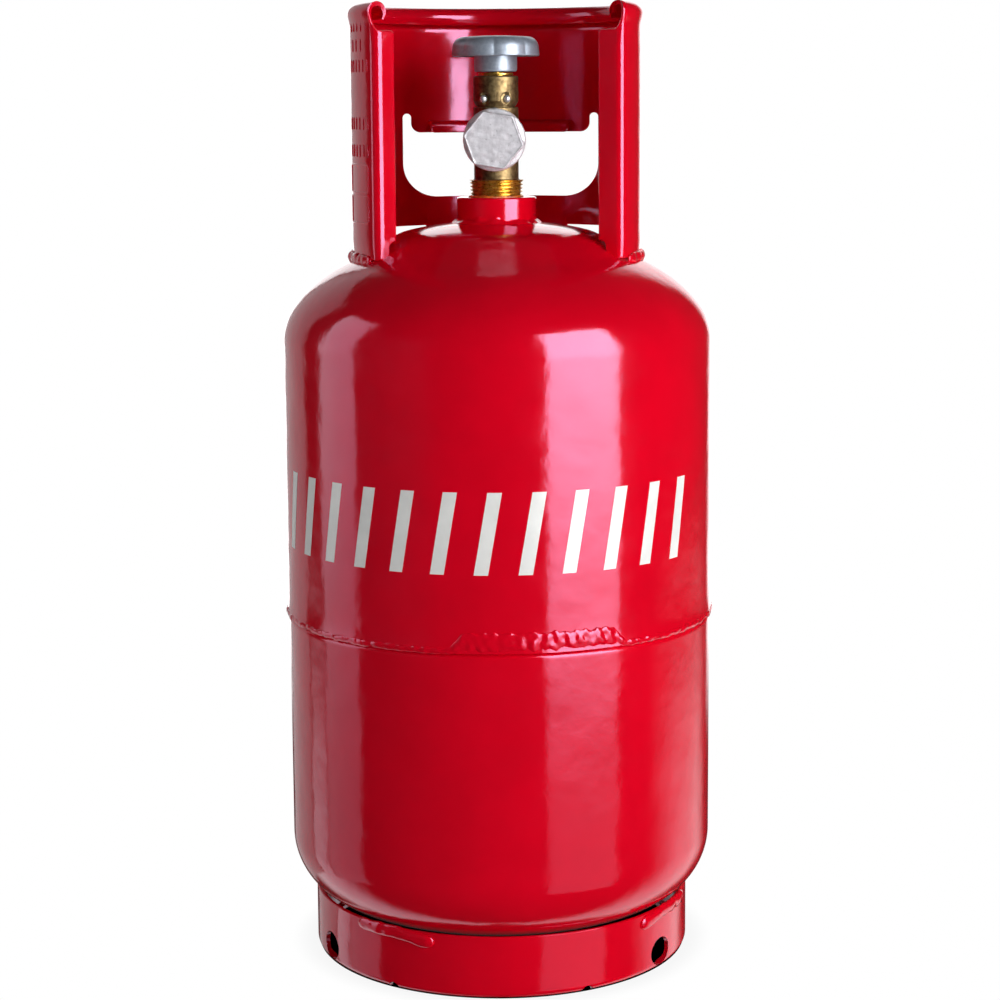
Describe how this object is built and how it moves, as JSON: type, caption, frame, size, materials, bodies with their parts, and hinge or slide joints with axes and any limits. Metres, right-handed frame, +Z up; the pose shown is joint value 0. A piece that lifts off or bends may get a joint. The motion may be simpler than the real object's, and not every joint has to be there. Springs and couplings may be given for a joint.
{
  "type": "propane tank",
  "caption": "Welded steel propane cylinder with a rolled valve guard, foot ring, brass handwheel valve and a screwed hexagon outlet cap.",
  "frame": {"origin": "middle of the foot ring's base, on the cylinder's axis", "axes": "+Z up along the cylinder's axis, -Y towards the front, where the valve's outlet and the guard's opening face"},
  "size_m": [0.225, 0.225, 0.4933],
  "materials": {
    "red_enamel": "gloss",
    "forged_brass": "satin",
    "turned_brass": "satin",
    "plated_steel": "satin",
    "grey_enamel": "satin",
    "cast_zinc": "matte",
    "seal_rubber": "matte",
    "seat_nylon": "matte",
    "thread_compound": "satin"
  },
  "bodies": {
    "cylinder": {"upper_shell": "red_enamel", "lower_shell": "red_enamel", "girth_weld": "red_enamel", "foot_ring": "red_enamel", "foot_weld_1": "red_enamel", "foot_weld_2": "red_enamel", "foot_weld_3": "red_enamel", "foot_weld_4": "red_enamel", "neck_boss": "red_enamel", "neck_weld": "red_enamel", "valve_guard": "red_enamel", "guard_weld_front_left": "red_enamel", "guard_weld_front_right": "red_enamel", "guard_weld_rear_left": "red_enamel", "guard_weld_rear_right": "red_enamel", "valve_body": "forged_brass", "gland_sleeve": "forged_brass", "gland_bush": "turned_brass", "lock_pin_left": "plated_steel", "lock_pin_right": "plated_steel", "thrust_washer": "plated_steel", "stem_o_ring_lower": "seal_rubber", "stem_o_ring_upper": "seal_rubber", "thread_sealant": "thread_compound"},
    "handwheel": {"handwheel": "grey_enamel", "wheel_washer": "plated_steel", "wheel_screw": "plated_steel", "valve_stem": "turned_brass"},
    "valve_plug": {"valve_plug": "turned_brass", "seat_disc": "seat_nylon"},
    "cap_gasket": {"cap_gasket": "seal_rubber"},
    "outlet_cap": {"outlet_cap": "cast_zinc"}
  },
  "joints": [
    {"name": "handwheel_turn", "type": "hinge", "parent": "cylinder", "child": "handwheel", "pos_m": [0, 0, 0.46], "axis": [0, 0, 1], "range_deg": [0, 720]},
    {"name": "plug_lift", "type": "slide", "parent": "handwheel", "child": "valve_plug", "axis": [0, 0, 1], "range_m": [0, 0.003]},
    {"name": "cap_travel", "type": "slide", "parent": "cylinder", "child": "cap_gasket", "axis": [-0.0349, -0.9994, 0], "range_m": [0, 0.0146]},
    {"name": "cap_turn", "type": "hinge", "parent": "cap_gasket", "child": "outlet_cap", "pos_m": [0, 0, 0.4246], "axis": [-0.0349, -0.9994, 0], "range_deg": [-2880, 0]}
  ],
  "couplings": [
    {"joint": "plug_lift", "follows": "handwheel_turn", "m_per_rad": 0.0002387},
    {"joint": "cap_travel", "follows": "cap_turn", "m_per_rad": -0.0002887}
  ]
}
